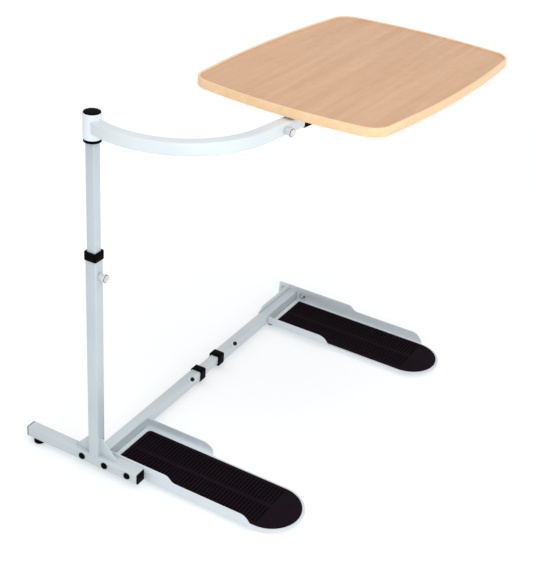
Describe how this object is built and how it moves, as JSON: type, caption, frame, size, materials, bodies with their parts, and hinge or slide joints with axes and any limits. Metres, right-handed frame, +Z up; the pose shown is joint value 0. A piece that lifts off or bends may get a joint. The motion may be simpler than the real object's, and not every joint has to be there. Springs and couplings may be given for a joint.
{
  "type": "overbed table",
  "caption": "Overbed table: chair-foot base plates on a sliding crossbar, telescopic post, swing arm and bowed wood tray.",
  "frame": {"origin": "middle of the whole table's footprint, on the floor", "axes": "+Z up, +X from the post side along the crossbar, the foot plates' toes point along -Y"},
  "size_m": [0.8696, 0.674, 0.8184],
  "materials": {
    "white_coat": "cool white powder coat, semi-gloss",
    "black_plastic": "black moulded plastic, satin",
    "black_rubber": "black rubber, matt",
    "black_steel": "black coated screw",
    "zinc_steel": "zinc plated steel",
    "white_plastic": "off-white moulded grip, satin",
    "tray_laminate": "beech-pattern laminate, satin",
    "tray_wood": "pale beech lip, satin lacquer"
  },
  "bodies": {
    "base": {"side_rail": "white_coat", "rail_front_plug": "black_plastic", "rail_rear_plug": "black_plastic", "rail_rear_foot": "black_rubber", "rail_bolt_rear": "black_plastic", "rail_bolt_middle": "black_plastic", "rail_bolt_front": "black_plastic", "near_insert_rear": "zinc_steel", "near_insert_middle": "zinc_steel", "near_insert_front": "zinc_steel", "post_outer_tube": "white_coat", "gusset_rear": "white_coat", "gusset_front": "white_coat", "post_collar": "black_plastic", "height_knob_boss": "white_coat", "crossbar_near_tube": "white_coat", "crossbar_near_collar": "black_plastic", "near_lock_boss": "white_coat", "near_foot_plate": "white_coat", "near_mat": "black_rubber", "near_pad_rear_outer": "black_rubber", "near_pad_rear_inner": "black_rubber", "near_pad_toe_outer": "black_rubber", "near_pad_toe_inner": "black_rubber"},
    "height_knob": {"height_knob": "white_plastic"},
    "near_lock_screw": {"near_lock_screw": "black_steel"},
    "crossbar_inner": {"crossbar_inner_tube": "white_coat"},
    "far_side": {"crossbar_far_tube": "white_coat", "crossbar_far_collar": "black_plastic", "far_lock_boss": "white_coat", "far_foot_plate": "white_coat", "far_mat": "black_rubber", "far_insert_rear": "zinc_steel", "far_insert_middle": "zinc_steel", "far_pad_rear_outer": "black_rubber", "far_pad_rear_inner": "black_rubber", "far_pad_toe_outer": "black_rubber", "far_pad_toe_inner": "black_rubber"},
    "far_lock_screw": {"far_lock_screw": "black_steel"},
    "post_inner": {"post_inner_tube": "white_coat", "swivel_spindle": "zinc_steel"},
    "arm": {"arm_sleeve": "white_coat", "swivel_ring_bush": "black_plastic", "swivel_upper_bush": "black_plastic", "sleeve_cap": "black_plastic", "swing_arm": "white_coat", "arm_end_collar": "black_plastic", "arm_knob_boss": "white_coat"},
    "arm_knob": {"arm_knob": "white_plastic"},
    "tray": {"tray_slide_tube": "white_coat", "tray_bracket": "white_coat", "tray_screw_1": "zinc_steel", "tray_screw_2": "zinc_steel", "tray_screw_3": "zinc_steel", "tray_screw_4": "zinc_steel", "tray_board": "tray_laminate", "tray_edge_lip": "tray_wood"}
  },
  "joints": [
    {"name": "height_slide", "type": "slide", "parent": "base", "child": "post_inner", "axis": [0, 0, 1], "range_m": [-0.2, 0.06]},
    {"name": "height_knob_turn", "type": "hinge", "parent": "base", "child": "height_knob", "pos_m": [-0.40868, 0.14672, 0.4724], "axis": [0, -1, 0], "continuous": true},
    {"name": "arm_swing", "type": "hinge", "parent": "post_inner", "child": "arm", "pos_m": [-0.40868, 0.15952, 0.782], "axis": [0, 0, 1], "continuous": true},
    {"name": "arm_knob_turn", "type": "hinge", "parent": "arm", "child": "arm_knob", "pos_m": [-0.20892, -0.12606, 0.7808], "axis": [-0.1501, -0.9887, 0], "continuous": true},
    {"name": "tray_slide", "type": "slide", "parent": "arm", "child": "tray", "axis": [0.9884, -0.1502, -0.0213], "range_m": [-0.018, 0.04]},
    {"name": "near_width_slide", "type": "slide", "parent": "base", "child": "crossbar_inner", "axis": [1, 0, 0], "range_m": [-0.028, 0.1]},
    {"name": "near_lock_turn", "type": "hinge", "parent": "base", "child": "near_lock_screw", "pos_m": [-0.06818, 0.15033, 0.03289], "axis": [0, -0.7071, 0.7071], "continuous": true},
    {"name": "far_width_slide", "type": "slide", "parent": "crossbar_inner", "child": "far_side", "axis": [1, 0, 0], "range_m": [-0.028, 0.1]},
    {"name": "far_lock_turn", "type": "hinge", "parent": "far_side", "child": "far_lock_screw", "pos_m": [0.11832, 0.15033, 0.03289], "axis": [0, -0.7071, 0.7071], "continuous": true}
  ]
}
